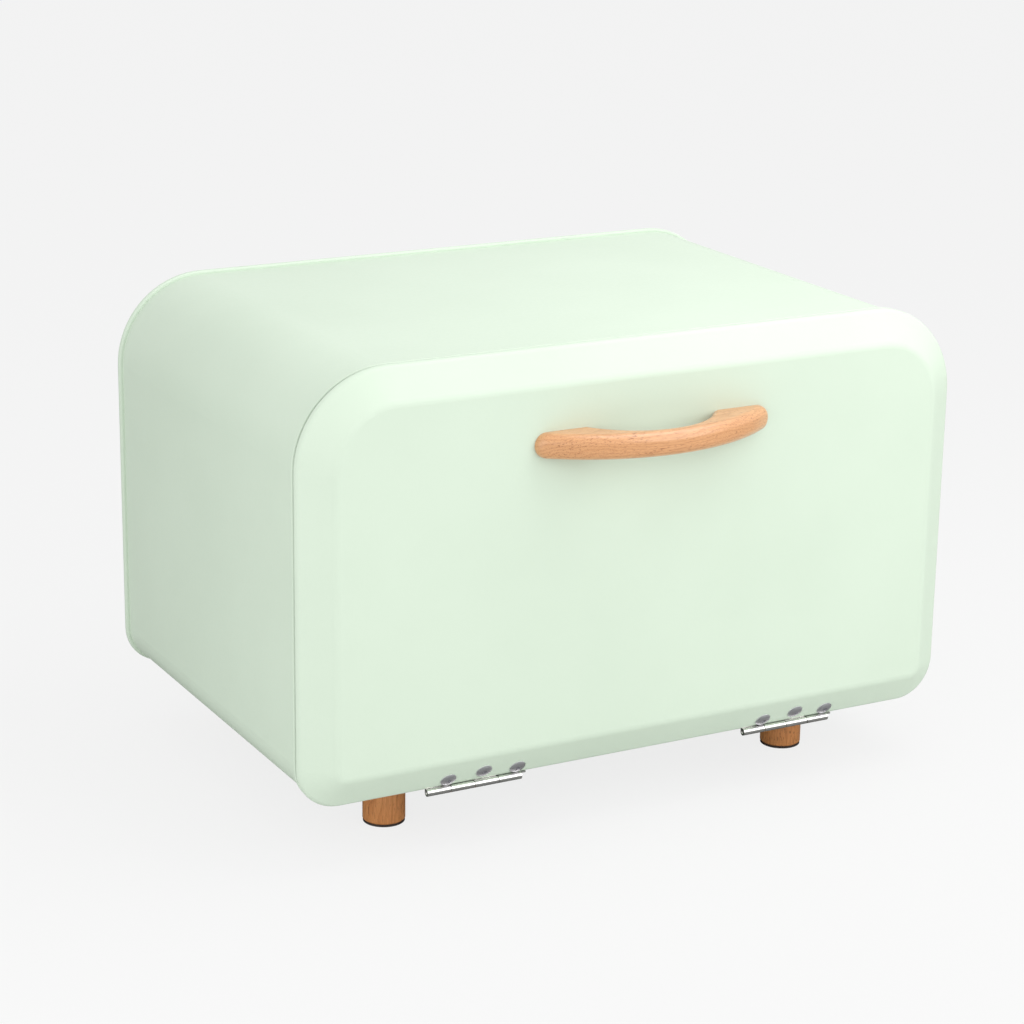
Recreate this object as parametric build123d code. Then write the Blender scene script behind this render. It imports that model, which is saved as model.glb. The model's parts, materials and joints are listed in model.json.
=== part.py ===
from build123d import *

import math
import os

# Bread bin: a sheet-steel case on four wooden pegs, with a drop-down door, a wooden bow pull and two
# riveted hinges. Millimetres, +Z up, +Y to the back, and the door at -Y. The origin is on the worktop,
# under the middle of the whole.

# Overall sizes.
WIDTH = 352.0  # across the door and across the rear rim
HEIGHT = 235.0  # worktop to the top of the door
DEPTH = 230.0  # door face to the back of the rear rim, without the pull
LEG_HEIGHT = 30.0  # worktop to the bottom of the door

# The outline that the door and the rear rim share.
TOP_RADIUS = 45.0
BOTTOM_RADIUS = 20.5
SHEET = 0.8  # steel sheet with its powder coat

# Door: a pressed pan with a bevel all round between its flat face and its rim, which folds in behind.
DOOR_DEPTH = 12.0
BEVEL_DEPTH = 10.0  # along Y; the rest of the depth is the straight rim
BEVEL_WIDTH = 15.5  # across the face
FACE_BEND = 6.0  # outer radius where the bevel meets the face
RIM_BEND = 3.2  # outer radius where the bevel meets the rim
DOOR_RETURN = 12.0  # how far the folded rim reaches in from the outline
DOOR_GAP = 2.4  # between the door and the front bead of the case

# Case: a wrapped sheet, set in from the outline, with a rolled bead at its front.
CASE_INSET = 1.75
BEAD_INSET = 0.2
BEAD_WIDTH = 2.0
BEAD_ROUND = 0.9

# Back panel: a countersunk lid whose rim folds over the end of the case.
RIM_WIDTH = 3.0
RIM_ROUND = 1.2
RIM_FOLD = 1.0  # metal behind the end of the case, inside the rim
VENT_COUNT = 9
VENT_RADIUS = 2.5
VENT_PITCH = 14.0
VENT_DROP = 34.0  # from the top of the outline to the row of vents

# Wooden bow pull.
PULL_LENGTH = 124.5
PULL_REACH = 24.5  # door face to the front of the bow
PULL_HEIGHT = 12.0
PULL_END = 2.6  # thickness of each end
PULL_END_ROUND = 5.9  # of the ends, seen from the front
PULL_PAD = 30.0  # length of each foot that bears on the door
PULL_GAP = 16.5  # finger room behind the middle of the bow
PULL_FRONT_ROUND = 4.6
PULL_BACK_ROUND = 3.0
PULL_ABOVE_DOOR_BOTTOM = 162.2
PULL_HOLE_SPACING = 96.0

# Peg feet.
PEG_RADIUS = 10.3
PEG_X = 113.3
PEG_FROM_EDGE = 39.0  # from the door seam or the back of the rim to the peg's axis
PEG_CHAMFER = 0.6
PAD_RADIUS = 10.1
PAD_THICKNESS = 1.0

# Hinges.
HINGE_X = 86.9  # to the middle of the barrel
HINGE_LENGTH = 49.6
LEAF_SHIFT = 3.9  # both leaves and their rivets sit this far to +X of the barrel
HINGE_SETBACK = 3.2  # axis in front of the door seam
BARREL_RADIUS = 1.75
PIN_RADIUS = 1.0
PIN_CLEARANCE = 0.05  # radial, in the knuckles that turn
PIN_RECESS = 0.3  # from each end of the barrel to the end of the pin
KNUCKLES = 4
KNUCKLE_GAP = 0.4
LEAF = 0.8
BARREL_CLEARANCE = 0.28  # between the barrel and the bend at the door's rim
DOOR_LEAF_REACH = 14.0  # up the bevel from its lower corner
DOOR_LEAF_FOOT = 1.8  # up the bevel, where the leaf leaves it for the barrel
SLOT_CLEARANCE = 0.35
LEAF_DROP = 0.35  # gap between the bottom of the door and the case leaf that passes below it
CASE_LEAF_STEP = 5.0  # behind the seam, where the case leaf steps up to the case
CASE_LEAF_RISE = 3.0
CASE_LEAF_DEPTH = 20.5  # behind the seam

# Blind rivets.
RIVET_PITCH = 18.2
RIVET_RADIUS = 2.0
RIVET_HOLE_CLEARANCE = 0.05
RIVET_HEAD_RADIUS = 4.0
RIVET_HEAD = 1.2
RIVET_HEAD_EDGE = 0.4
RIVET_BULB_RADIUS = 2.6
RIVET_BULB = 1.3
RIVET_BORE_RADIUS = 1.1
RIVET_BORE = 2.2
STEM_DROP = 0.9  # from the top of the head to the broken end of the stem
STEM_NECK_RADIUS = 0.55
DOOR_RIVET_RISE = 5.1  # up the bevel from its lower corner, for the outer two of each hinge
DOOR_RIVET_STAGGER = 1.9  # how much higher the middle one is
CASE_RIVET_SETBACK = 13.5  # behind the seam

# Screws and washers.
SCREW_RADIUS = 2.0
SCREW_HOLE_CLEARANCE = 0.2
SCREW_HEAD_RADIUS = 3.8
SCREW_HEAD = 2.4
PULL_SCREW_BITE = 8.5  # length in the wood
PEG_SCREW_BITE = 16.0
WASHER_RADIUS = 6.0
WASHER = 1.0
RECESS_WIDTH = 0.9
RECESS_LENGTH = 4.2
RECESS_DEPTH = 1.5

# Magnetic catch under the top of the case.
CATCH_WIDTH = 38.0
CATCH_DEPTH = 12.0
CATCH_HEIGHT = 9.0
CATCH_EAR = 12.0
CATCH_EAR_THICKNESS = 2.5
CATCH_PLATE = 0.8
CATCH_WALL = 1.2
CATCH_EDGE_ROUND = 0.8
POLE = 1.2
POLE_GAP = 0.3  # between the poles and the door's folded rim
MAGNET_WIDTH = 30.0
MAGNET_DEPTH = 8.0
MAGNET = 4.0
STUD_RADIUS = 1.5
STUD_LENGTH = 6.5
NUT_ACROSS_FLATS = 5.5
NUT = 2.4

# Places that follow from the sizes.
WHOLE_DEPTH = DEPTH + PULL_REACH
Y_FACE = PULL_REACH - WHOLE_DEPTH / 2
Y_SEAM = Y_FACE + DOOR_DEPTH
Y_CASE = Y_SEAM + DOOR_GAP
Y_BACK = WHOLE_DEPTH / 2
Z_MIDDLE = (HEIGHT + LEG_HEIGHT) / 2
Z_CASE_BOTTOM = LEG_HEIGHT + CASE_INSET
Z_CASE_FLOOR = Z_CASE_BOTTOM + SHEET
Z_CASE_CEILING = HEIGHT - CASE_INSET - SHEET
Z_PULL = LEG_HEIGHT + PULL_ABOVE_DOOR_BOTTOM
BEVEL_SLANT = math.hypot(BEVEL_DEPTH, BEVEL_WIDTH)
BEVEL_TILT = math.degrees(math.atan2(BEVEL_DEPTH, BEVEL_WIDTH))  # of the bevel's normal from level
BEVEL_FOOT_Y = Y_FACE + BEVEL_DEPTH  # sharp corner where the bevel would meet the rim
BEND_Y = BEVEL_FOOT_Y + RIM_BEND * math.tan(math.radians(45 - BEVEL_TILT / 2))  # centre of the rim bend
BEND_Z = LEG_HEIGHT + RIM_BEND
AXIS_Y = Y_SEAM - HINGE_SETBACK
AXIS_REACH = RIM_BEND + BARREL_RADIUS + BARREL_CLEARANCE
AXIS_Z = BEND_Z - math.sqrt(AXIS_REACH**2 - (BEND_Y - AXIS_Y) ** 2)
KNUCKLE = (HINGE_LENGTH - (KNUCKLES - 1) * KNUCKLE_GAP) / KNUCKLES
SIDES = {"left": -1, "right": 1}


def outline(inset, y):
    """The shared rounded outline, set in by inset, as a face at depth y."""
    plate = Rectangle(WIDTH - 2 * inset, HEIGHT - LEG_HEIGHT - 2 * inset)
    plate = fillet(plate.vertices().group_by(Axis.Y)[-1], TOP_RADIUS - inset)
    plate = fillet(plate.vertices().group_by(Axis.Y)[0], BOTTOM_RADIUS - inset)
    return Plane(origin=(0, y, Z_MIDDLE), x_dir=(1, 0, 0), z_dir=(0, -1, 0)) * plate


def slab(inset, y_front, y_back):
    """A solid of the shared outline between two depths."""
    return extrude(outline(inset, y_back), amount=y_back - y_front)


def ring(inset_out, inset_in, y_front, y_back):
    """A band between two insets of the shared outline."""
    return slab(inset_out, y_front, y_back) - slab(inset_in, y_front, y_back)


def block(x, y, z):
    """A box from its three (low, high) ranges."""
    size = [high - low for low, high in (x, y, z)]
    centre = [(low + high) / 2 for low, high in (x, y, z)]
    return Pos(*centre) * Box(*size)


def rod(radius, x_low, x_high, y, z):
    """A round bar along X."""
    return Pos((x_low + x_high) / 2, y, z) * Rot(0, 90, 0) * Cylinder(radius, x_high - x_low)


def prism(corners, x_low, x_high):
    """A bar along X with the section given by its (y, z) corners."""
    section = make_face(Polyline(*[(x_low, y, z) for y, z in corners], close=True))
    return extrude(section, amount=x_high - x_low, dir=(1, 0, 0))


def turned(points, place):
    """A solid turned from (radius, height) points, set on a location whose Z is its axis."""
    profile = make_face(Polyline(*[(r, 0, h) for r, h in points], close=True))
    return place * revolve(profile, Axis.Z)


def on_bevel(rise, depth):
    """(y, z) of a point up the door's lower bevel from its lower corner, and below its outer surface."""
    along = (-BEVEL_DEPTH / BEVEL_SLANT, BEVEL_WIDTH / BEVEL_SLANT)
    inward = (along[1], -along[0])
    y = BEVEL_FOOT_Y + rise * along[0] + depth * inward[0]
    z = LEG_HEIGHT + rise * along[1] + depth * inward[1]
    return y, z


def rivet_xs(side):
    """The three rivet places along one hinge."""
    return [side * HINGE_X + LEAF_SHIFT + step * RIVET_PITCH for step in (-1, 0, 1)]


def door_rivet_places(side):
    """Places of one hinge's rivets on the door's bevel, whose own Z points out of the door."""
    places = []
    for x, lift in zip(rivet_xs(side), (0, DOOR_RIVET_STAGGER, 0)):
        y, z = on_bevel(DOOR_RIVET_RISE + lift, 0)
        places.append(Location((x, y, z), (90 + BEVEL_TILT, 0, 0)))
    return places


def pull_xs():
    return [-PULL_HOLE_SPACING / 2, PULL_HOLE_SPACING / 2]


def peg_places():
    """Name to (x, y) of each peg foot."""
    rows = {"front": Y_SEAM + PEG_FROM_EDGE, "rear": Y_BACK - PEG_FROM_EDGE}
    return {f"{row}_{side}": (sign * PEG_X, y) for row, y in rows.items() for side, sign in SIDES.items()}


# Door.


def knuckle_span(side, index):
    """(low, high) of one knuckle of a hinge along X."""
    low = side * HINGE_X - HINGE_LENGTH / 2 + index * (KNUCKLE + KNUCKLE_GAP)
    return low, low + KNUCKLE


def leaf_span(side):
    """(low, high) of both leaves of a hinge along X."""
    low = side * HINGE_X + LEAF_SHIFT - HINGE_LENGTH / 2
    return low, low + HINGE_LENGTH


def door_knuckles(side):
    return [knuckle_span(side, index) for index in range(0, KNUCKLES, 2)]


def case_knuckles(side):
    return [knuckle_span(side, index) for index in range(1, KNUCKLES, 2)]


def rivet_holes_in_door(side):
    """Cutters for the rivets of one hinge, through the pan and the leaf."""
    radius = RIVET_RADIUS + RIVET_HOLE_CLEARANCE
    return [place * Cylinder(radius, 3 * (SHEET + LEAF)) for place in door_rivet_places(side)]


def pan(inset):
    """The filled shape of the door, set in all round by inset; its back stays at the seam."""
    shape = slab(inset, Y_FACE + inset, Y_SEAM)
    front = shape.faces().sort_by(Axis.Y)[0]
    scale = 1 - inset * (BEVEL_DEPTH + BEVEL_WIDTH - BEVEL_SLANT) / (BEVEL_DEPTH * BEVEL_WIDTH)
    shape = chamfer(front.edges(), BEVEL_WIDTH * scale, BEVEL_DEPTH * scale, reference=front)
    shape = fillet(shape.faces().sort_by(Axis.Y)[0].edges(), FACE_BEND - inset)
    foot = BEVEL_FOOT_Y + inset - (1 - scale) * BEVEL_DEPTH
    rim = [edge for edge in shape.edges() if abs(edge.center().Y - foot) < 0.01 and edge.length > 1]
    return fillet(rim, RIM_BEND - inset)


def door_panel():
    panel = pan(0) - pan(SHEET) + ring(SHEET, DOOR_RETURN, Y_SEAM - SHEET, Y_SEAM)
    for x in pull_xs():
        hole = Cylinder(SCREW_RADIUS + SCREW_HOLE_CLEARANCE, 4 * SHEET)
        panel -= Pos(x, Y_FACE, Z_PULL) * Rot(90, 0, 0) * hole
    tab_back = AXIS_Y + BARREL_RADIUS
    tab_front = min(tab_back - LEAF, on_bevel(DOOR_LEAF_FOOT, SHEET)[0])
    slot_y = (tab_front - SLOT_CLEARANCE, tab_back + SLOT_CLEARANCE)
    slot_z = (AXIS_Z, on_bevel(DOOR_LEAF_FOOT, SHEET)[1])
    for side in SIDES.values():
        for low, high in door_knuckles(side):
            panel -= block((low - SLOT_CLEARANCE, high + SLOT_CLEARANCE), slot_y, slot_z)
        panel -= rivet_holes_in_door(side)
    return panel


def door_leaf(side):
    """The hinge leaf inside the pan: it lies along the bevel, and its tabs come out through the slots."""
    outer, inner = SHEET, SHEET + LEAF
    strip = [
        on_bevel(DOOR_LEAF_FOOT, outer),
        on_bevel(DOOR_LEAF_FOOT, inner),
        on_bevel(DOOR_LEAF_REACH, inner),
        on_bevel(DOOR_LEAF_REACH, outer),
    ]
    leaf = prism(strip, *leaf_span(side))
    tab_back = AXIS_Y + BARREL_RADIUS
    tab = [
        (tab_back, AXIS_Z),
        (tab_back, on_bevel(0, inner)[1]),
        on_bevel(DOOR_LEAF_FOOT, inner),
        on_bevel(DOOR_LEAF_FOOT, outer),
        (tab_back - LEAF, on_bevel(0, outer)[1]),
        (tab_back - LEAF, AXIS_Z),
    ]
    for start, end in door_knuckles(side):
        leaf += prism(tab, start, end)
        leaf += rod(BARREL_RADIUS, start, end, AXIS_Y, AXIS_Z)
        leaf -= rod(PIN_RADIUS + PIN_CLEARANCE, start - 1, end + 1, AXIS_Y, AXIS_Z)
    return leaf - rivet_holes_in_door(side)


def rivet_points(grip):
    """Half section of a set blind rivet: head above zero, bulb below the grip, and its hollow."""
    return [
        (0, RIVET_HEAD - RIVET_BORE),
        (RIVET_BORE_RADIUS, RIVET_HEAD - RIVET_BORE),
        (RIVET_BORE_RADIUS, RIVET_HEAD),
        (RIVET_HEAD_RADIUS * 0.5, RIVET_HEAD * 0.93),
        (RIVET_HEAD_RADIUS * 0.8, RIVET_HEAD * 0.7),
        (RIVET_HEAD_RADIUS, RIVET_HEAD_EDGE),
        (RIVET_HEAD_RADIUS, 0),
        (RIVET_RADIUS, 0),
        (RIVET_RADIUS, -grip),
        (RIVET_BULB_RADIUS, -grip),
        (RIVET_BULB_RADIUS, -grip - RIVET_BULB * 0.6),
        (RIVET_RADIUS, -grip - RIVET_BULB),
        (0, -grip - RIVET_BULB),
    ]


def stem_points():
    """Half section of the piece of stem that stays in a set rivet, broken off at its neck."""
    low, high = RIVET_HEAD - RIVET_BORE, RIVET_HEAD - STEM_DROP
    shoulder = high - RIVET_BORE_RADIUS / 2
    return [
        (0, low),
        (RIVET_BORE_RADIUS, low),
        (RIVET_BORE_RADIUS, shoulder),
        (STEM_NECK_RADIUS, high),
        (0, high),
    ]


def pull():
    """The wooden bow: cut from a board in plan, with round ends, then rounded over in front and behind."""
    half = PULL_LENGTH / 2
    gap = half - PULL_PAD
    outer = ThreePointArc((-half, -PULL_END), (0, -PULL_REACH), (half, -PULL_END))
    inner = ThreePointArc((gap, 0), (0, -PULL_GAP), (-gap, 0))
    ends = [
        Line((half, -PULL_END), (half, 0)),
        Line((half, 0), (gap, 0)),
        Line((-gap, 0), (-half, 0)),
        Line((-half, 0), (-half, -PULL_END)),
    ]
    bow = extrude(make_face([outer, inner, *ends]), amount=PULL_HEIGHT)
    front_view = Plane.XZ.offset(-PULL_REACH) * RectangleRounded(PULL_LENGTH, PULL_HEIGHT, PULL_END_ROUND)
    bow &= Pos(0, 0, PULL_HEIGHT / 2) * extrude(front_view, amount=3 * PULL_REACH)
    bow = fillet(bow.faces().sort_by(Axis.Y)[0].edges(), PULL_FRONT_ROUND)
    bow = fillet([edge for edge in bow.edges() if on_hollow(edge)], PULL_BACK_ROUND)
    bow = Pos(0, Y_FACE, Z_PULL - PULL_HEIGHT / 2) * bow
    for x in pull_xs():
        bore = Cylinder(SCREW_RADIUS, 2 * PULL_SCREW_BITE)
        bow -= Pos(x, Y_FACE, Z_PULL) * Rot(90, 0, 0) * bore
    return bow


def on_hollow(edge):
    """Whether an edge follows the arc behind the bow."""
    half_gap = PULL_LENGTH / 2 - PULL_PAD
    radius = (half_gap**2 + PULL_GAP**2) / (2 * PULL_GAP)
    return edge.geom_type == GeomType.CIRCLE and abs(edge.radius - radius) < 0.01


def screw(place, grip, bite):
    """A cross-head screw: its head stands above the place, and its shank goes down through the grip."""
    points = [
        (0, -grip - bite),
        (SCREW_RADIUS, -grip - bite),
        (SCREW_RADIUS, 0),
        (SCREW_HEAD_RADIUS, 0),
        (SCREW_HEAD_RADIUS, SCREW_HEAD * 0.45),
        (SCREW_HEAD_RADIUS * 0.85, SCREW_HEAD * 0.8),
        (SCREW_HEAD_RADIUS * 0.5, SCREW_HEAD),
        (0, SCREW_HEAD),
    ]
    made = turned(points, place)
    for width, length in ((RECESS_WIDTH, RECESS_LENGTH), (RECESS_LENGTH, RECESS_WIDTH)):
        made -= place * Pos(0, 0, SCREW_HEAD - RECESS_DEPTH / 2) * Box(width, length, RECESS_DEPTH)
    return made


def washer(place):
    """A flat washer that lies on the place."""
    disc = Cylinder(WASHER_RADIUS, WASHER) - Cylinder(SCREW_RADIUS + SCREW_HOLE_CLEARANCE, WASHER)
    return place * Pos(0, 0, WASHER / 2) * disc


def pull_place(x, lift):
    """A place on the inside of the door face, whose own Z points into the case."""
    return Location((x, Y_FACE + SHEET + lift, Z_PULL), (-90, 0, 0))


# Case.


def rivet_holes_in_case(side):
    radius = RIVET_RADIUS + RIVET_HOLE_CLEARANCE
    return [place * Cylinder(radius, 3 * (SHEET + LEAF)) for place in case_rivet_places(side)]


def case():
    shell = ring(CASE_INSET, CASE_INSET + SHEET, Y_CASE, Y_BACK - RIM_FOLD)
    bead = slab(BEAD_INSET, Y_CASE, Y_CASE + BEAD_WIDTH)
    faces = bead.faces().sort_by(Axis.Y)
    bead = fillet(faces[0].edges() + faces[-1].edges(), BEAD_ROUND)
    shell += bead - slab(CASE_INSET, Y_CASE, Y_CASE + BEAD_WIDTH)
    for x, y in peg_places().values():
        hole = Cylinder(SCREW_RADIUS + SCREW_HOLE_CLEARANCE, 4 * SHEET)
        shell -= Pos(x, y, Z_CASE_BOTTOM) * hole
    for side in SIDES.values():
        shell -= rivet_holes_in_case(side)
    return shell


def back_panel():
    y_front = Y_BACK - RIM_WIDTH
    lid = slab(0, y_front, Y_BACK)
    faces = lid.faces().sort_by(Axis.Y)
    lid = fillet(faces[0].edges() + faces[-1].edges(), RIM_ROUND)
    lid -= ring(CASE_INSET, CASE_INSET + SHEET, y_front, Y_BACK - RIM_FOLD)
    lid -= slab(CASE_INSET + 2 * SHEET, y_front + SHEET, Y_BACK)
    for index in range(VENT_COUNT):
        x = (index - (VENT_COUNT - 1) / 2) * VENT_PITCH
        lid -= Pos(x, y_front, HEIGHT - VENT_DROP) * Rot(90, 0, 0) * Cylinder(VENT_RADIUS, 4 * SHEET)
    return lid


def case_leaf(side):
    """The hinge leaf under the case: it passes below the front bead, then steps up to the case."""
    low, high = leaf_span(side)
    z_low = LEG_HEIGHT - LEAF_DROP - LEAF
    z_high = Z_CASE_BOTTOM - LEAF
    y_step = Y_SEAM + CASE_LEAF_STEP
    run = [
        (AXIS_Y, z_low),
        (y_step, z_low),
        (y_step + CASE_LEAF_RISE, z_high),
        (Y_SEAM + CASE_LEAF_DEPTH, z_high),
    ]
    leaf = prism(run + [(y, z + LEAF) for y, z in reversed(run)], low, high)
    clear = BARREL_RADIUS + KNUCKLE_GAP
    past_barrel = (knuckle_span(side, KNUCKLES - 1)[1], high)
    for start, end in [*door_knuckles(side), past_barrel]:
        cut_x = (start - KNUCKLE_GAP, end + KNUCKLE_GAP)
        leaf -= block(cut_x, (AXIS_Y - clear, AXIS_Y + clear), (z_low - 1, AXIS_Z + clear))
    for start, end in case_knuckles(side):
        leaf += rod(BARREL_RADIUS, start, end, AXIS_Y, AXIS_Z)
        leaf -= rod(PIN_RADIUS, start - 1, end + 1, AXIS_Y, AXIS_Z)
    return leaf - rivet_holes_in_case(side)


def hinge_pin(side):
    half = HINGE_LENGTH / 2 - PIN_RECESS
    return rod(PIN_RADIUS, side * HINGE_X - half, side * HINGE_X + half, AXIS_Y, AXIS_Z)


def case_rivet_places(side):
    """Places of one hinge's rivets under the case, whose own Z points down."""
    y = Y_SEAM + CASE_RIVET_SETBACK
    return [Location((x, y, Z_CASE_BOTTOM - LEAF), (180, 0, 0)) for x in rivet_xs(side)]


def peg(x, y):
    height = Z_CASE_BOTTOM - PAD_THICKNESS
    wood = Cylinder(PEG_RADIUS, height, align=(Align.CENTER, Align.CENTER, Align.MIN))
    wood = chamfer(wood.faces().sort_by(Axis.Z)[0].edges(), PEG_CHAMFER)
    wood -= Pos(0, 0, height) * Cylinder(SCREW_RADIUS, 2 * PEG_SCREW_BITE)
    return Pos(x, y, PAD_THICKNESS) * wood


def peg_pad(x, y):
    return Pos(x, y, PAD_THICKNESS / 2) * Cylinder(PAD_RADIUS, PAD_THICKNESS)


# Magnetic catch: everything hangs below the ceiling of the case, behind the front bead.

CATCH_Y = (Y_CASE, Y_CASE + CATCH_DEPTH)
CATCH_TOP = Z_CASE_CEILING - CATCH_PLATE
CATCH_MID_Z = CATCH_TOP - CATCH_HEIGHT / 2
STUD_X = CATCH_WIDTH / 2 + CATCH_EAR / 2
STUD_Y = Y_CASE + CATCH_DEPTH / 2


def stud_places():
    return [(-STUD_X, STUD_Y), (STUD_X, STUD_Y)]


def catch_plate():
    reach = CATCH_WIDTH / 2 + CATCH_EAR
    plate = block((-reach, reach), CATCH_Y, (CATCH_TOP, Z_CASE_CEILING))
    for x, y in stud_places():
        plate += Pos(x, y, CATCH_TOP - STUD_LENGTH / 2) * Cylinder(STUD_RADIUS, STUD_LENGTH)
    return plate


def pole_stack():
    """(low, high) heights of the lower pole, the magnet and the upper pole."""
    z0 = CATCH_MID_Z - MAGNET / 2 - POLE
    return [(z0, z0 + POLE), (z0 + POLE, z0 + POLE + MAGNET), (z0 + POLE + MAGNET, z0 + 2 * POLE + MAGNET)]


def catch_housing():
    half = CATCH_WIDTH / 2
    body = block((-half, half), CATCH_Y, (CATCH_TOP - CATCH_HEIGHT, CATCH_TOP))
    body = fillet(body.edges().group_by(Axis.Z)[0], CATCH_EDGE_ROUND)
    ear_z = (CATCH_TOP - CATCH_EAR_THICKNESS, CATCH_TOP)
    body += block((-half - CATCH_EAR, half + CATCH_EAR), CATCH_Y, ear_z)
    low, high = pole_stack()[0][0], pole_stack()[-1][1]
    pocket_y = (Y_CASE - 1, Y_CASE + MAGNET_DEPTH)
    body -= block((-MAGNET_WIDTH / 2, MAGNET_WIDTH / 2), pocket_y, (low, high))
    for x, y in stud_places():
        body -= Pos(x, y, CATCH_TOP) * Cylinder(STUD_RADIUS + SCREW_HOLE_CLEARANCE, 4 * CATCH_EAR_THICKNESS)
    return body


def catch_magnet():
    return block((-MAGNET_WIDTH / 2, MAGNET_WIDTH / 2), (Y_CASE, Y_CASE + MAGNET_DEPTH), pole_stack()[1])


def catch_pole(index):
    pole_y = (Y_SEAM + POLE_GAP, Y_CASE + MAGNET_DEPTH)
    return block((-MAGNET_WIDTH / 2, MAGNET_WIDTH / 2), pole_y, pole_stack()[index])


def catch_nut(x, y):
    z_top = CATCH_TOP - CATCH_EAR_THICKNESS
    hexagon = RegularPolygon(NUT_ACROSS_FLATS / 2, 6, major_radius=False) - Circle(STUD_RADIUS)
    return Pos(x, y, z_top - NUT) * extrude(hexagon, amount=NUT)


def group(shapes):
    """Several separate solids in one node."""
    return Compound(children=[shape.solid() for shape in shapes])


def make_nodes():
    """Every sub-part, by the name of its node."""
    pegs = peg_places()
    floor_lift = Z_CASE_FLOOR + WASHER
    nodes = {
        "door_panel": door_panel(),
        "handle": pull(),
        "handle_screws": group([
            screw(pull_place(x, WASHER), WASHER + SHEET, PULL_SCREW_BITE) for x in pull_xs()
        ]),
        "handle_washers": group([washer(pull_place(x, 0)) for x in pull_xs()]),
        "case_shell": case(),
        "back_panel": back_panel(),
        "foot_screws": group([
            screw(Location((x, y, floor_lift)), WASHER + SHEET, PEG_SCREW_BITE) for x, y in pegs.values()
        ]),
        "foot_washers": group([washer(Location((x, y, Z_CASE_FLOOR))) for x, y in pegs.values()]),
        "catch_plate": catch_plate(),
        "catch_housing": catch_housing(),
        "catch_magnet": catch_magnet(),
        "catch_poles": group([catch_pole(0), catch_pole(2)]),
        "catch_nuts": group([catch_nut(x, y) for x, y in stud_places()]),
    }
    rivet_rows = {"door": door_rivet_places, "case": case_rivet_places}
    for body, places in rivet_rows.items():
        row = [place for side in SIDES.values() for place in places(side)]
        nodes[f"{body}_hinge_rivets"] = group([turned(rivet_points(SHEET + LEAF), place) for place in row])
        nodes[f"{body}_rivet_stems"] = group([turned(stem_points(), place) for place in row])
    for name, sign in SIDES.items():
        nodes[f"hinge_{name}_door_leaf"] = door_leaf(sign)
        nodes[f"hinge_{name}_case_leaf"] = case_leaf(sign)
        nodes[f"hinge_{name}_pin"] = hinge_pin(sign)
    for name, (x, y) in pegs.items():
        nodes[f"foot_{name}"] = peg(x, y)
        nodes[f"foot_pad_{name}"] = peg_pad(x, y)
    return nodes


os.makedirs("parts", exist_ok=True)
for name, shape in make_nodes().items():
    export_step(shape, f"parts/{name}.step")
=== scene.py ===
"""Looks of the bread bin: materials, light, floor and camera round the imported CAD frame."""

import json
import math

import bpy
from mathutils import Matrix, Vector


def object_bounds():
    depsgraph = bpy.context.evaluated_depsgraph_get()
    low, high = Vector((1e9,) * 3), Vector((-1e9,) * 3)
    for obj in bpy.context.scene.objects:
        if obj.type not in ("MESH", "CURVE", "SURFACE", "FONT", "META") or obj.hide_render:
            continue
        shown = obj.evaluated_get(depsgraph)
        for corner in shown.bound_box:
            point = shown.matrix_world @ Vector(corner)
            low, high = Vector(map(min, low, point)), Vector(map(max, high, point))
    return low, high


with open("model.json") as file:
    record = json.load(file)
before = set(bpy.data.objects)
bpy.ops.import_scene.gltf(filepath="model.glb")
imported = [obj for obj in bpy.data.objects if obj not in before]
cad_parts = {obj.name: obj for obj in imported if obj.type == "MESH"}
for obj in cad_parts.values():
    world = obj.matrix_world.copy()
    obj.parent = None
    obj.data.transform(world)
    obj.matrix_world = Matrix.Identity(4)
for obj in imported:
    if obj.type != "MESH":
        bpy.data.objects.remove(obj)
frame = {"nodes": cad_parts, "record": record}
cad_box = [list(corner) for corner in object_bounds()]
NODES = frame["nodes"]

# Camera: lens and sensor in millimetres, place in metres, angles in degrees.
LENS = 98.0
SENSOR_WIDTH = 36
CAMERA_PLACE = Vector((-0.6491, -1.1656, 0.5328))
CAMERA_YAW = 28.441
CAMERA_PITCH = 17.025
CAMERA_ROLL = 0.814

# Light: a white sky, and round soft lamps aimed at the middle of the bin. Each lamp is its power in
# watts, its width and distance in metres, and its height and bearing from the front in degrees.
SKY = 0.83
LAMPS = {
    "front": (2.5, 0.7, 0.85, 26, 28),
    "front_left": (1.0, 0.6, 0.65, 12, -62),
    "overhead": (2.3, 0.6, 0.75, 66, 60),
}

# Floor: its side in metres, its glow where the camera sees it, and how light a grey it is where the
# camera sees it, where it lights the bin, and in reflections.
FLOOR_SIDE = 40
FLOOR_GLOW = 0.81
FLOOR_SHADE = 0.1
FLOOR_BOUNCE = 0.75
FLOOR_MIRRORED = 0.2

# Textures, as cells per metre. A triple is along the grain and then twice across it.
PAINT_CLOUD = 14.0
PAINT_PEEL = 420.0
PAINT_GRAIN = 2600.0
WOOD_SWAY = (22, 70, 70)
WOOD_RING = 190.0
WOOD_FIBRE = (160, 4200, 4200)
WOOD_RAY = (400, 1900, 1900)
WOOD_PATCH = (25, 90, 90)
METAL_ROLLED = (60, 3500, 3500)
METAL_SPANGLED = (900, 900, 900)
METAL_HAZE = 260.0
RUBBER_GRAIN = 2400.0
PLASTIC_GRAIN = 2000.0
FERRITE_GRAIN = 3000.0
BLOTCH_GRAINS = 12  # how many grains wide a blotch in a moulded material is

# How deep the textures are, in metres. The sway is how far it moves the growth rings.
PEEL_DEPTH = 0.00003
POWDER_DEPTH = 0.000006
SWAY_DEPTH = 0.010
FIBRE_DEPTH = 0.000012
PORE_DEPTH = 0.00003
ROLLED_DEPTH = 0.000004
RIVET_DEPTH = 0.000008
ZINC_DEPTH = 0.000006
RUBBER_DEPTH = 0.00003
PLASTIC_DEPTH = 0.00002
FERRITE_DEPTH = 0.00003

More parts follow.
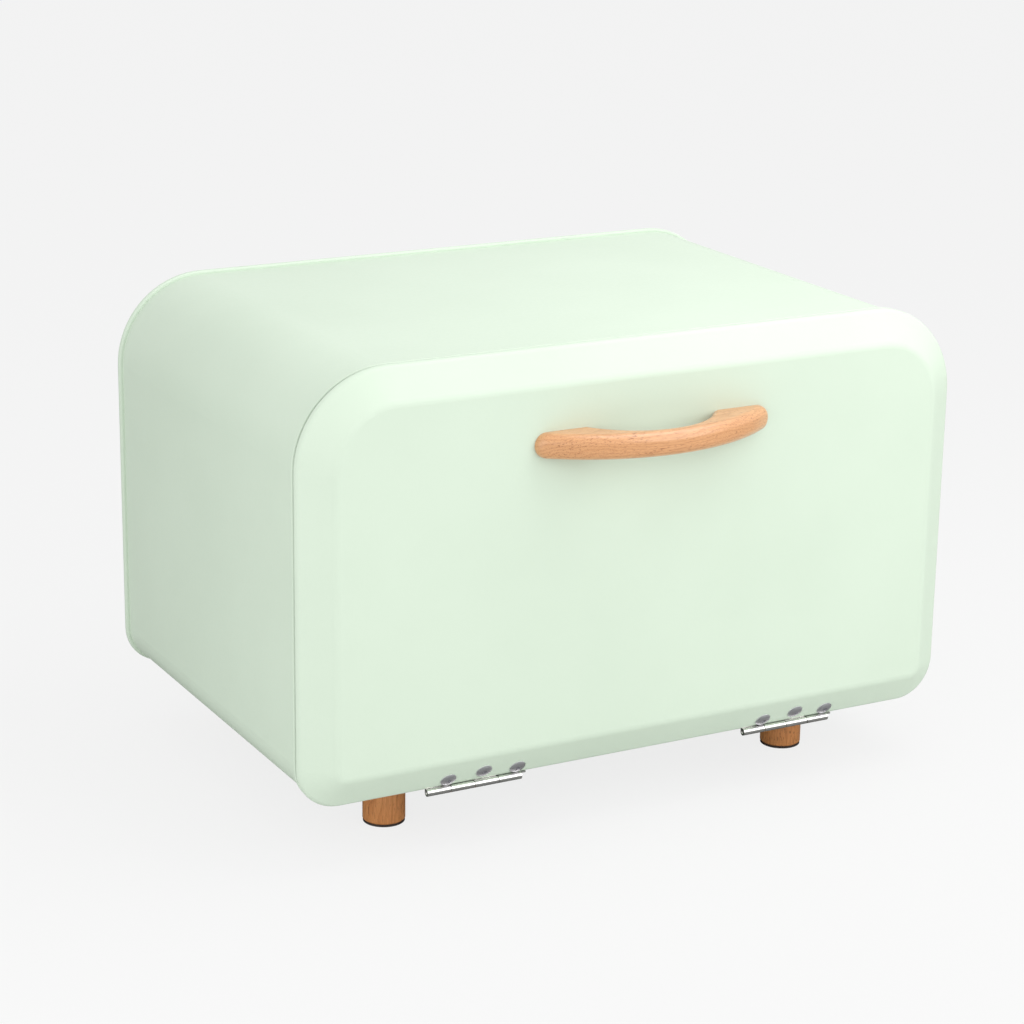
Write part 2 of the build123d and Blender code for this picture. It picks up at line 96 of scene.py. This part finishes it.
MOST = (0.3, 0.7)  # nearly all of a noise lies in this range
VARNISH_ROUGHNESS = 0.22
RING_WEIGHT = 0.45  # of the rings in the wood's tone, beside the fibres
TARNISH = 0.82  # how much of its colour a metal keeps where it is dull

# The sockets of the Mix node that hold its two colours, and the one that gives the result.
MIX_LOW = 6
MIX_HIGH = 7
MIX_RESULT = 2


class Tree:
    """A material's node tree, with short calls for the nodes that the materials share."""

    def __init__(self, name, colour, roughness, metallic=0.0):
        self.material = bpy.data.materials.new(name)
        self.material.use_nodes = True
        self.nodes = self.material.node_tree.nodes
        self.links = self.material.node_tree.links
        self.shader = self.nodes["Principled BSDF"]
        self.shader.inputs["Base Color"].default_value = (*colour, 1)
        self.shader.inputs["Roughness"].default_value = roughness
        self.shader.inputs["Metallic"].default_value = metallic
        self.place = self.nodes.new("ShaderNodeTexCoord").outputs["Object"]

    def mapped(self, scale=(1, 1, 1), shift=(0, 0, 0), turn=(0, 0, 0), vector=None):
        """A place in metres, scaled, turned and shifted. With no vector it is the object's own."""
        node = self.nodes.new("ShaderNodeMapping")
        node.inputs["Scale"].default_value = scale
        node.inputs["Location"].default_value = shift
        node.inputs["Rotation"].default_value = turn
        self.links.new(vector or self.place, node.inputs["Vector"])
        return node.outputs["Vector"]

    def noise(self, vector, scale=1.0, detail=2.0, output="Fac"):
        node = self.nodes.new("ShaderNodeTexNoise")
        node.inputs["Scale"].default_value = scale
        node.inputs["Detail"].default_value = detail
        self.links.new(vector, node.inputs["Vector"])
        return node.outputs[output]

    def spread(self, value, source, target=(0.0, 1.0)):
        """The value, with its source range stretched to the target range."""
        node = self.nodes.new("ShaderNodeMapRange")
        names = ("From Min", "From Max", "To Min", "To Max")
        for name, number in zip(names, (*source, *target)):
            node.inputs[name].default_value = number
        self.links.new(value, node.inputs["Value"])
        return node.outputs["Result"]

    def combine(self, operation, first, second):
        """The Math node's result for two values, each a number or a node's output."""
        node = self.nodes.new("ShaderNodeMath")
        node.operation = operation
        for slot, value in enumerate((first, second)):
            if isinstance(value, (int, float)):
                node.inputs[slot].default_value = value
            else:
                self.links.new(value, node.inputs[slot])
        return node.outputs["Value"]

    def mix(self, factor, low, high):
        """A colour between low and high, either of which may be a colour or a node's output."""
        node = self.nodes.new("ShaderNodeMix")
        node.data_type = "RGBA"
        self.links.new(factor, node.inputs["Factor"])
        for slot, value in ((MIX_LOW, low), (MIX_HIGH, high)):
            if isinstance(value, tuple):
                node.inputs[slot].default_value = (*value, 1)
            else:
                self.links.new(value, node.inputs[slot])
        return node.outputs[MIX_RESULT]

    def colour(self, output):
        self.links.new(output, self.shader.inputs["Base Color"])

    def roughness(self, output):
        self.links.new(output, self.shader.inputs["Roughness"])

    def bump(self, *layers):
        """Stacked bumps, each a (height, depth in metres) pair."""
        normal = None
        for height, depth in layers:
            node = self.nodes.new("ShaderNodeBump")
            node.inputs["Distance"].default_value = depth
            self.links.new(height, node.inputs["Height"])
            if normal:
                self.links.new(normal, node.inputs["Normal"])
            normal = node.outputs["Normal"]
        self.links.new(normal, self.shader.inputs["Normal"])


def powder_coat():
    """Satin mint powder coat: a faint cloud in the colour, orange peel and grains of powder."""
    paint = Tree("mint_powder_coat", colour=(0.60, 0.70, 0.58), roughness=0.42)
    paint.shader.inputs["Specular IOR Level"].default_value = 0.35
    cloud = paint.noise(paint.place, PAINT_CLOUD, detail=3.0)
    cloudy = paint.spread(cloud, (0.35, 0.65))
    body = paint.mix(cloudy, (0.596, 0.700, 0.578), (0.612, 0.716, 0.594))
    grain = paint.noise(paint.place, PAINT_GRAIN, detail=1.0)
    specks = paint.spread(grain, (0.62, 0.75), (0.0, 0.25))
    paint.colour(paint.mix(specks, body, (0.52, 0.62, 0.50)))
    peel = paint.noise(paint.place, PAINT_PEEL)
    paint.roughness(paint.spread(peel, MOST, (0.42, 0.50)))
    paint.bump((peel, PEEL_DEPTH), (grain, POWDER_DEPTH))
    return paint.material


def beech(name, light, dark, fleck, turn, shift, roughness, coat):
    """Beech cut from the board: growth rings, fine fibres, and the short dark flecks of its rays.

    The grain runs along the local X that turn gives, and shift places the middle of the rings.
    """
    wood = Tree(name, light, roughness)
    wood.shader.inputs["Coat Weight"].default_value = coat
    wood.shader.inputs["Coat Roughness"].default_value = VARNISH_ROUGHNESS
    along = wood.mapped(turn=turn, shift=shift)

    def grained(cells, detail=1.0, output="Fac"):
        return wood.noise(wood.mapped(cells, vector=along), 1.0, detail, output)

    swayed = wood.nodes.new("ShaderNodeVectorMath")
    swayed.operation = "MULTIPLY_ADD"
    swayed.inputs[1].default_value = (0.0, SWAY_DEPTH, SWAY_DEPTH)
    wood.links.new(grained(WOOD_SWAY, 2.0, "Color"), swayed.inputs[0])
    wood.links.new(along, swayed.inputs[2])
    rings = wood.nodes.new("ShaderNodeTexWave")
    rings.wave_type = "RINGS"
    rings.rings_direction = "X"
    rings.wave_profile = "SAW"
    rings.inputs["Scale"].default_value = WOOD_RING
    rings.inputs["Distortion"].default_value = 0.0
    wood.links.new(swayed.outputs["Vector"], rings.inputs["Vector"])

    ring = wood.spread(rings.outputs["Fac"], (0.45, 1.0))
    fibre = grained(WOOD_FIBRE, 2.0)
    streaks = wood.spread(fibre, MOST, (-0.3, 0.55))
    tone = wood.combine("ADD", wood.combine("MULTIPLY", ring, RING_WEIGHT), streaks)
    ray = wood.spread(grained(WOOD_RAY), (0.60, 0.70))
    patch = wood.spread(grained(WOOD_PATCH), (0.35, 0.6), (0.3, 0.75))
    flecks = wood.combine("MULTIPLY", ray, patch)
    wood.colour(wood.mix(flecks, wood.mix(tone, light, dark), fleck))
    wood.roughness(wood.spread(fibre, MOST, (roughness - 0.05, roughness + 0.07)))
    pores = wood.combine("SUBTRACT", 1.0, flecks)
    wood.bump((fibre, FIBRE_DEPTH), (pores, PORE_DEPTH))
    return wood.material


def metal(name, colour, roughness, cells, depth):
    """Bare or plated metal: fine streaks, uneven gloss and a light haze of wear."""
    bare = Tree(name, colour, roughness, metallic=1.0)
    streak = bare.noise(bare.mapped(cells), detail=3.0)
    haze = bare.noise(bare.place, METAL_HAZE)
    streaked = bare.spread(streak, MOST, (-0.05, 0.07))
    hazy = bare.spread(haze, (0.35, 0.7), (0.0, 0.08))
    bare.roughness(bare.combine("ADD", bare.combine("ADD", streaked, hazy), roughness))
    dull = tuple(channel * TARNISH for channel in colour)
    bare.colour(bare.mix(bare.spread(haze, (0.45, 0.75), (0.0, 0.6)), colour, dull))
    bare.bump((streak, depth))
    return bare.material


def moulded(name, colour, other, roughness, grain, depth):
    """Rubber, plastic or ferrite: blotches of another colour, and a grain in gloss and height."""
    mass = Tree(name, colour, roughness)
    fine = mass.noise(mass.place, grain)
    broad = mass.noise(mass.place, grain / BLOTCH_GRAINS)
    mass.colour(mass.mix(mass.spread(broad, MOST), colour, other))
    mass.roughness(mass.spread(fine, MOST, (roughness - 0.06, roughness + 0.06)))
    mass.bump((fine, depth))
    return mass.material


def make_slots():
    """The record's material slots, by name."""
    made = [
        powder_coat(),
        beech("pull_beech",
              light=(0.68, 0.355, 0.165), dark=(0.49, 0.215, 0.085), fleck=(0.29, 0.10, 0.035),
              turn=(0, 0, math.radians(1.5)), shift=(0, 0.12, -0.112), roughness=0.34, coat=0.5),
        beech("foot_beech",
              light=(0.68, 0.29, 0.10), dark=(0.44, 0.15, 0.043), fleck=(0.20, 0.065, 0.02),
              turn=(0, math.radians(90), 0), shift=(0, 0, 0), roughness=0.32, coat=0.4),
        moulded("foot_pad_rubber", (0.035, 0.025, 0.022), (0.055, 0.042, 0.036),
                0.75, RUBBER_GRAIN, RUBBER_DEPTH),
        metal("hinge_steel", (0.86, 0.85, 0.83), 0.10, METAL_ROLLED, ROLLED_DEPTH),
        metal("rivet_aluminium", (0.80, 0.79, 0.83), 0.44, METAL_SPANGLED, RIVET_DEPTH),
        metal("fastener_steel", (0.66, 0.68, 0.70), 0.24, METAL_SPANGLED, ZINC_DEPTH),
        moulded("catch_plastic", (0.74, 0.75, 0.72), (0.70, 0.71, 0.68),
                0.48, PLASTIC_GRAIN, PLASTIC_DEPTH),
        moulded("catch_ferrite", (0.045, 0.045, 0.05), (0.08, 0.08, 0.085),
                0.6, FERRITE_GRAIN, FERRITE_DEPTH),
    ]
    return {material.name: material for material in made}


def dress():
    """Give each CAD node the material of its slot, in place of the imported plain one."""
    for plain in list(bpy.data.materials):
        plain.name = f"plain_{plain.name}"
    slots = make_slots()
    for part in frame["record"]["subparts"]:
        mesh = NODES[part["node"]].data
        mesh.materials.clear()
        mesh.materials.append(slots[part["material_slot"]])


def diffuse(nodes, grey):
    shader = nodes.new("ShaderNodeBsdfDiffuse")
    shader.inputs["Color"].default_value = (grey, grey, grey, 1)
    return shader.outputs[0]


def floor():
    """A plain pale floor.

    Seen directly, it glows a little, so that shadows on it stay light. It lights the bin from below
    like grey paper, and is dark in reflections, as if black cards lay round the bin.
    """
    bpy.ops.mesh.primitive_plane_add(size=FLOOR_SIDE, location=(0, 0, 0))
    plane = bpy.context.object
    plane.name = "floor"
    made = bpy.data.materials.new("floor_paint")
    made.use_nodes = True
    nodes, links = made.node_tree.nodes, made.node_tree.links
    nodes.clear()
    glow = nodes.new("ShaderNodeEmission")
    glow.inputs["Strength"].default_value = FLOOR_GLOW
    seen = nodes.new("ShaderNodeAddShader")
    links.new(glow.outputs[0], seen.inputs[0])
    links.new(diffuse(nodes, FLOOR_SHADE), seen.inputs[1])
    path = nodes.new("ShaderNodeLightPath")
    surface = diffuse(nodes, FLOOR_MIRRORED)
    bounce = diffuse(nodes, FLOOR_BOUNCE)
    for ray, shader in (("Is Diffuse Ray", bounce), ("Is Camera Ray", seen.outputs[0])):
        pick = nodes.new("ShaderNodeMixShader")
        links.new(path.outputs[ray], pick.inputs["Fac"])
        links.new(surface, pick.inputs[1])
        links.new(shader, pick.inputs[2])
        surface = pick.outputs[0]
    links.new(surface, nodes.new("ShaderNodeOutputMaterial").inputs["Surface"])
    plane.data.materials.append(made)


def light():
    """The white sky and the lamps."""
    world = bpy.data.worlds.new("studio")
    bpy.context.scene.world = world
    world.use_nodes = True
    sky = world.node_tree.nodes["Background"]
    sky.inputs["Color"].default_value = (1, 1, 1, 1)
    sky.inputs["Strength"].default_value = SKY
    middle = (Vector(cad_box[0]) + Vector(cad_box[1])) / 2
    for name, (power, width, distance, height, bearing) in LAMPS.items():
        data = bpy.data.lights.new(name, "AREA")
        data.shape = "DISK"
        data.size = width
        data.energy = power
        lamp = bpy.data.objects.new(name, data)
        lamp.rotation_euler = (math.radians(90 - height), 0, math.radians(bearing))
        aim = lamp.rotation_euler.to_matrix()
        lamp.location = middle + aim @ Vector((0, 0, distance))
        lamp.visible_camera = False
        bpy.context.scene.collection.objects.link(lamp)


def camera():
    """The photograph's camera: turned to its yaw, tipped down by its pitch, then rolled."""
    data = bpy.data.cameras.new("camera")
    data.lens = LENS
    data.sensor_width = SENSOR_WIDTH
    made = bpy.data.objects.new("camera", data)
    bpy.context.scene.collection.objects.link(made)
    yaw, pitch, roll = map(math.radians, (CAMERA_YAW, CAMERA_PITCH, CAMERA_ROLL))
    level = Vector((math.cos(yaw), -math.sin(yaw), 0))
    forward = Vector((
        math.sin(yaw) * math.cos(pitch),
        math.cos(yaw) * math.cos(pitch),
        -math.sin(pitch),
    ))
    upright = level.cross(forward)
    right = math.cos(roll) * level + math.sin(roll) * upright
    up = math.cos(roll) * upright - math.sin(roll) * level
    turn = Matrix((right, up, -forward)).transposed()
    made.matrix_world = Matrix.Translation(CAMERA_PLACE) @ turn.to_4x4()
    bpy.context.scene.camera = made


dress()
floor()
light()
camera()
bpy.context.scene.view_settings.view_transform = "Standard"
